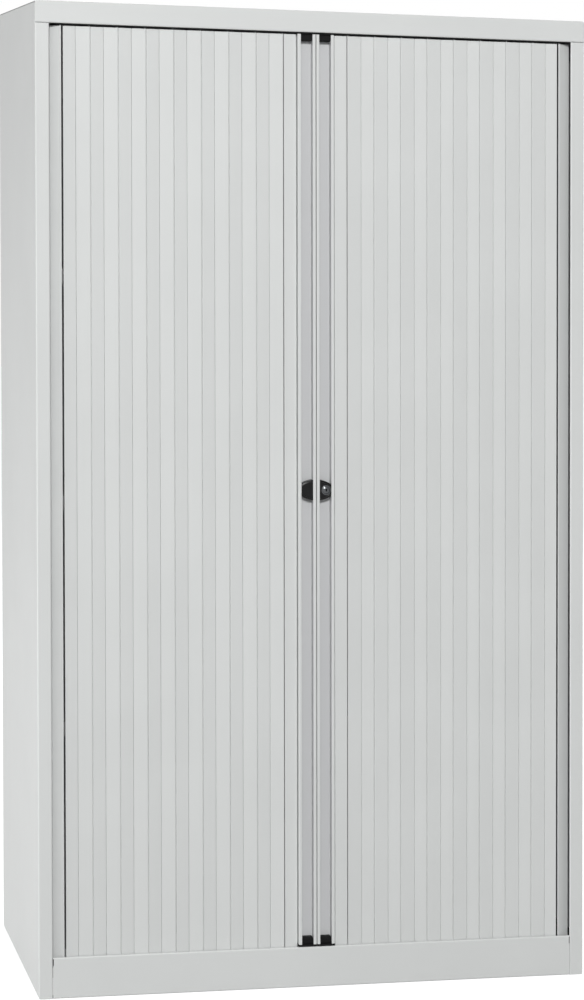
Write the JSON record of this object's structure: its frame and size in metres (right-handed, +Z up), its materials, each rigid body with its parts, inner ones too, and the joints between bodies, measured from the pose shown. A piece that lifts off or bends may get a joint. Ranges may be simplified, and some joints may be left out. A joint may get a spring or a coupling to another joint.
{
  "type": "tambour door cupboard",
  "caption": "Tall light grey steel storage cupboard with side-opening tambour curtains, a lock between the handles, shelves inside and a plinth.",
  "frame": {"origin": "on the floor, midway across the width and the depth", "axes": "+X to the viewer's right from the front, +Y from the front to the back, +Z up"},
  "size_m": [1, 0.47, 1.738],
  "materials": {
    "grey_enamel": "light grey powder coat, fine texture",
    "slat_enamel": "light grey powder coat on thin steel",
    "black_plastic": "moulded, satin black",
    "track_plastic": "moulded, black",
    "nylon": "natural nylon",
    "lock_chrome": "bright plated",
    "zinc": "zinc plated"
  },
  "bodies": {
    "carcass": {"left_side_panel": "grey_enamel", "right_side_panel": "grey_enamel", "top_panel": "grey_enamel", "plinth_panel": "grey_enamel", "base_panel": "grey_enamel", "floor_panel": "grey_enamel", "back_panel": "grey_enamel", "left_lining": "grey_enamel", "right_lining": "grey_enamel", "upper_track": "track_plastic", "lower_track": "track_plastic", "shelf_1": "grey_enamel", "shelf_2": "grey_enamel", "shelf_3": "grey_enamel", "shelf_clips": "zinc", "levelling_feet": "black_plastic"},
    "left_door": {"left_handle_stile": "grey_enamel", "left_handle_caps": "black_plastic", "lock_keeper": "black_plastic"},
    "right_door": {"right_handle_stile": "grey_enamel", "right_handle_caps": "black_plastic", "lock_housing": "black_plastic"},
    "lock": {"lock_cylinder": "lock_chrome", "lock_hook": "zinc"},
    "left_glide_1": {"left_glide_1": "nylon"},
    "left_slat_1": {"left_slat_1": "slat_enamel"},
    "left_glide_2": {"left_glide_2": "nylon"},
    "left_slat_2": {"left_slat_2": "slat_enamel"},
    "left_glide_3": {"left_glide_3": "nylon"},
    "left_slat_3": {"left_slat_3": "slat_enamel"},
    "left_glide_4": {"left_glide_4": "nylon"},
    "left_slat_4": {"left_slat_4": "slat_enamel"},
    "left_glide_5": {"left_glide_5": "nylon"},
    "left_slat_5": {"left_slat_5": "slat_enamel"},
    "left_glide_6": {"left_glide_6": "nylon"},
    "left_slat_6": {"left_slat_6": "slat_enamel"},
    "left_glide_7": {"left_glide_7": "nylon"},
    "left_slat_7": {"left_slat_7": "slat_enamel"},
    "left_glide_8": {"left_glide_8": "nylon"},
    "left_slat_8": {"left_slat_8": "slat_enamel"},
    "left_glide_9": {"left_glide_9": "nylon"},
    "left_corner_slat": {"left_corner_slat": "slat_enamel"},
    "right_glide_1": {"right_glide_1": "nylon"},
    "right_slat_1": {"right_slat_1": "slat_enamel"},
    "right_glide_2": {"right_glide_2": "nylon"},
    "right_slat_2": {"right_slat_2": "slat_enamel"},
    "right_glide_3": {"right_glide_3": "nylon"},
    "right_slat_3": {"right_slat_3": "slat_enamel"},
    "right_glide_4": {"right_glide_4": "nylon"},
    "right_slat_4": {"right_slat_4": "slat_enamel"},
    "right_glide_5": {"right_glide_5": "nylon"},
    "right_slat_5": {"right_slat_5": "slat_enamel"},
    "right_glide_6": {"right_glide_6": "nylon"},
    "right_slat_6": {"right_slat_6": "slat_enamel"},
    "right_glide_7": {"right_glide_7": "nylon"},
    "right_slat_7": {"right_slat_7": "slat_enamel"},
    "right_glide_8": {"right_glide_8": "nylon"},
    "right_slat_8": {"right_slat_8": "slat_enamel"},
    "right_glide_9": {"right_glide_9": "nylon"},
    "right_corner_slat": {"right_corner_slat": "slat_enamel"}
  },
  "joints": [
    {"name": "left_door_slide", "type": "slide", "parent": "carcass", "child": "left_door", "axis": [-1, 0, 0], "range_m": [0, 0.407]},
    {"name": "left_glide_1_slide", "type": "slide", "parent": "carcass", "child": "left_glide_1", "axis": [-1, 0, 0], "range_m": [0, 0.4083]},
    {"name": "left_slat_1_turn", "type": "hinge", "parent": "left_glide_1", "child": "left_slat_1", "pos_m": [-0.0596, -0.2268, 0], "axis": [0, 0, -1], "range_deg": [0, 90.1]},
    {"name": "left_glide_2_slide", "type": "slide", "parent": "carcass", "child": "left_glide_2", "axis": [-1, 0, 0], "range_m": [0, 0.3625]},
    {"name": "left_slat_2_turn", "type": "hinge", "parent": "left_glide_2", "child": "left_slat_2", "pos_m": [-0.1088, -0.2268, 0], "axis": [0, 0, -1], "range_deg": [0, 90.1]},
    {"name": "left_glide_3_slide", "type": "slide", "parent": "carcass", "child": "left_glide_3", "axis": [-1, 0, 0], "range_m": [0, 0.3167]},
    {"name": "left_slat_3_turn", "type": "hinge", "parent": "left_glide_3", "child": "left_slat_3", "pos_m": [-0.158, -0.2268, 0], "axis": [0, 0, -1], "range_deg": [0, 90.1]},
    {"name": "left_glide_4_slide", "type": "slide", "parent": "carcass", "child": "left_glide_4", "axis": [-1, 0, 0], "range_m": [0, 0.2709]},
    {"name": "left_slat_4_turn", "type": "hinge", "parent": "left_glide_4", "child": "left_slat_4", "pos_m": [-0.2072, -0.2268, 0], "axis": [0, 0, -1], "range_deg": [0, 90.1]},
    {"name": "left_glide_5_slide", "type": "slide", "parent": "carcass", "child": "left_glide_5", "axis": [-1, 0, 0], "range_m": [0, 0.2251]},
    {"name": "left_slat_5_turn", "type": "hinge", "parent": "left_glide_5", "child": "left_slat_5", "pos_m": [-0.2564, -0.2268, 0], "axis": [0, 0, -1], "range_deg": [0, 90.1]},
    {"name": "left_glide_6_slide", "type": "slide", "parent": "carcass", "child": "left_glide_6", "axis": [-1, 0, 0], "range_m": [0, 0.1793]},
    {"name": "left_slat_6_turn", "type": "hinge", "parent": "left_glide_6", "child": "left_slat_6", "pos_m": [-0.3056, -0.2268, 0], "axis": [0, 0, -1], "range_deg": [0, 90.1]},
    {"name": "left_glide_7_slide", "type": "slide", "parent": "carcass", "child": "left_glide_7", "axis": [-1, 0, 0], "range_m": [0, 0.1335]},
    {"name": "left_slat_7_turn", "type": "hinge", "parent": "left_glide_7", "child": "left_slat_7", "pos_m": [-0.3548, -0.2268, 0], "axis": [0, 0, -1], "range_deg": [0, 90.1]},
    {"name": "left_glide_8_slide", "type": "slide", "parent": "carcass", "child": "left_glide_8", "axis": [-1, 0, 0], "range_m": [0, 0.0877]},
    {"name": "left_slat_8_turn", "type": "hinge", "parent": "left_glide_8", "child": "left_slat_8", "pos_m": [-0.404, -0.2268, 0], "axis": [0, 0, -1], "range_deg": [0, 90.1]},
    {"name": "left_glide_9_slide", "type": "slide", "parent": "carcass", "child": "left_glide_9", "axis": [-1, 0, 0], "range_m": [0, 0.0406]},
    {"name": "left_corner_slat_turn", "type": "hinge", "parent": "left_glide_9", "child": "left_corner_slat", "pos_m": [-0.4545, -0.2268, 0], "axis": [0, 0, -1], "range_deg": [0, 65.1]},
    {"name": "right_door_slide", "type": "slide", "parent": "carcass", "child": "right_door", "axis": [1, 0, 0], "range_m": [0, 0.407]},
    {"name": "right_glide_1_slide", "type": "slide", "parent": "carcass", "child": "right_glide_1", "axis": [1, 0, 0], "range_m": [0, 0.4083]},
    {"name": "right_slat_1_turn", "type": "hinge", "parent": "right_glide_1", "child": "right_slat_1", "pos_m": [0.0596, -0.2268, 0], "axis": [0, 0, 1], "range_deg": [0, 90.1]},
    {"name": "right_glide_2_slide", "type": "slide", "parent": "carcass", "child": "right_glide_2", "axis": [1, 0, 0], "range_m": [0, 0.3625]},
    {"name": "right_slat_2_turn", "type": "hinge", "parent": "right_glide_2", "child": "right_slat_2", "pos_m": [0.1088, -0.2268, 0], "axis": [0, 0, 1], "range_deg": [0, 90.1]},
    {"name": "right_glide_3_slide", "type": "slide", "parent": "carcass", "child": "right_glide_3", "axis": [1, 0, 0], "range_m": [0, 0.3167]},
    {"name": "right_slat_3_turn", "type": "hinge", "parent": "right_glide_3", "child": "right_slat_3", "pos_m": [0.158, -0.2268, 0], "axis": [0, 0, 1], "range_deg": [0, 90.1]},
    {"name": "right_glide_4_slide", "type": "slide", "parent": "carcass", "child": "right_glide_4", "axis": [1, 0, 0], "range_m": [0, 0.2709]},
    {"name": "right_slat_4_turn", "type": "hinge", "parent": "right_glide_4", "child": "right_slat_4", "pos_m": [0.2072, -0.2268, 0], "axis": [0, 0, 1], "range_deg": [0, 90.1]},
    {"name": "right_glide_5_slide", "type": "slide", "parent": "carcass", "child": "right_glide_5", "axis": [1, 0, 0], "range_m": [0, 0.2251]},
    {"name": "right_slat_5_turn", "type": "hinge", "parent": "right_glide_5", "child": "right_slat_5", "pos_m": [0.2564, -0.2268, 0], "axis": [0, 0, 1], "range_deg": [0, 90.1]},
    {"name": "right_glide_6_slide", "type": "slide", "parent": "carcass", "child": "right_glide_6", "axis": [1, 0, 0], "range_m": [0, 0.1793]},
    {"name": "right_slat_6_turn", "type": "hinge", "parent": "right_glide_6", "child": "right_slat_6", "pos_m": [0.3056, -0.2268, 0], "axis": [0, 0, 1], "range_deg": [0, 90.1]},
    {"name": "right_glide_7_slide", "type": "slide", "parent": "carcass", "child": "right_glide_7", "axis": [1, 0, 0], "range_m": [0, 0.1335]},
    {"name": "right_slat_7_turn", "type": "hinge", "parent": "right_glide_7", "child": "right_slat_7", "pos_m": [0.3548, -0.2268, 0], "axis": [0, 0, 1], "range_deg": [0, 90.1]},
    {"name": "right_glide_8_slide", "type": "slide", "parent": "carcass", "child": "right_glide_8", "axis": [1, 0, 0], "range_m": [0, 0.0877]},
    {"name": "right_slat_8_turn", "type": "hinge", "parent": "right_glide_8", "child": "right_slat_8", "pos_m": [0.404, -0.2268, 0], "axis": [0, 0, 1], "range_deg": [0, 90.1]},
    {"name": "right_glide_9_slide", "type": "slide", "parent": "carcass", "child": "right_glide_9", "axis": [1, 0, 0], "range_m": [0, 0.0406]},
    {"name": "right_corner_slat_turn", "type": "hinge", "parent": "right_glide_9", "child": "right_corner_slat", "pos_m": [0.4545, -0.2268, 0], "axis": [0, 0, 1], "range_deg": [0, 65.1]},
    {"name": "lock_turn", "type": "hinge", "parent": "right_door", "child": "lock", "pos_m": [0.018, -0.217, 0.8886], "axis": [0, -1, 0], "range_deg": [0, 90]}
  ],
  "couplings": [
    {"joint": "left_glide_1_slide", "follows": "left_door_slide", "ratio": 1.0029},
    {"joint": "left_slat_1_turn", "follows": "left_door_slide", "rad_per_m": 3.8594},
    {"joint": "left_glide_2_slide", "follows": "left_door_slide", "ratio": 0.89042},
    {"joint": "left_slat_2_turn", "follows": "left_door_slide", "rad_per_m": 3.8594},
    {"joint": "left_glide_3_slide", "follows": "left_door_slide", "ratio": 0.77789},
    {"joint": "left_slat_3_turn", "follows": "left_door_slide", "rad_per_m": 3.8594},
    {"joint": "left_glide_4_slide", "follows": "left_door_slide", "ratio": 0.66536},
    {"joint": "left_slat_4_turn", "follows": "left_door_slide", "rad_per_m": 3.8594},
    {"joint": "left_glide_5_slide", "follows": "left_door_slide", "ratio": 0.55283},
    {"joint": "left_slat_5_turn", "follows": "left_door_slide", "rad_per_m": 3.8594},
    {"joint": "left_glide_6_slide", "follows": "left_door_slide", "ratio": 0.44029},
    {"joint": "left_slat_6_turn", "follows": "left_door_slide", "rad_per_m": 3.8594},
    {"joint": "left_glide_7_slide", "follows": "left_door_slide", "ratio": 0.32776},
    {"joint": "left_slat_7_turn", "follows": "left_door_slide", "rad_per_m": 3.8594},
    {"joint": "left_glide_8_slide", "follows": "left_door_slide", "ratio": 0.21523},
    {"joint": "left_slat_8_turn", "follows": "left_door_slide", "rad_per_m": 3.8594},
    {"joint": "left_glide_9_slide", "follows": "left_door_slide", "ratio": 0.099509},
    {"joint": "left_corner_slat_turn", "follows": "left_door_slide", "rad_per_m": 2.7874},
    {"joint": "right_glide_1_slide", "follows": "right_door_slide", "ratio": 1.0029},
    {"joint": "right_slat_1_turn", "follows": "right_door_slide", "rad_per_m": 3.8594},
    {"joint": "right_glide_2_slide", "follows": "right_door_slide", "ratio": 0.89042},
    {"joint": "right_slat_2_turn", "follows": "right_door_slide", "rad_per_m": 3.8594},
    {"joint": "right_glide_3_slide", "follows": "right_door_slide", "ratio": 0.77789},
    {"joint": "right_slat_3_turn", "follows": "right_door_slide", "rad_per_m": 3.8594},
    {"joint": "right_glide_4_slide", "follows": "right_door_slide", "ratio": 0.66536},
    {"joint": "right_slat_4_turn", "follows": "right_door_slide", "rad_per_m": 3.8594},
    {"joint": "right_glide_5_slide", "follows": "right_door_slide", "ratio": 0.55283},
    {"joint": "right_slat_5_turn", "follows": "right_door_slide", "rad_per_m": 3.8594},
    {"joint": "right_glide_6_slide", "follows": "right_door_slide", "ratio": 0.44029},
    {"joint": "right_slat_6_turn", "follows": "right_door_slide", "rad_per_m": 3.8594},
    {"joint": "right_glide_7_slide", "follows": "right_door_slide", "ratio": 0.32776},
    {"joint": "right_slat_7_turn", "follows": "right_door_slide", "rad_per_m": 3.8594},
    {"joint": "right_glide_8_slide", "follows": "right_door_slide", "ratio": 0.21523},
    {"joint": "right_slat_8_turn", "follows": "right_door_slide", "rad_per_m": 3.8594},
    {"joint": "right_glide_9_slide", "follows": "right_door_slide", "ratio": 0.099509},
    {"joint": "right_corner_slat_turn", "follows": "right_door_slide", "rad_per_m": 2.7874}
  ]
}
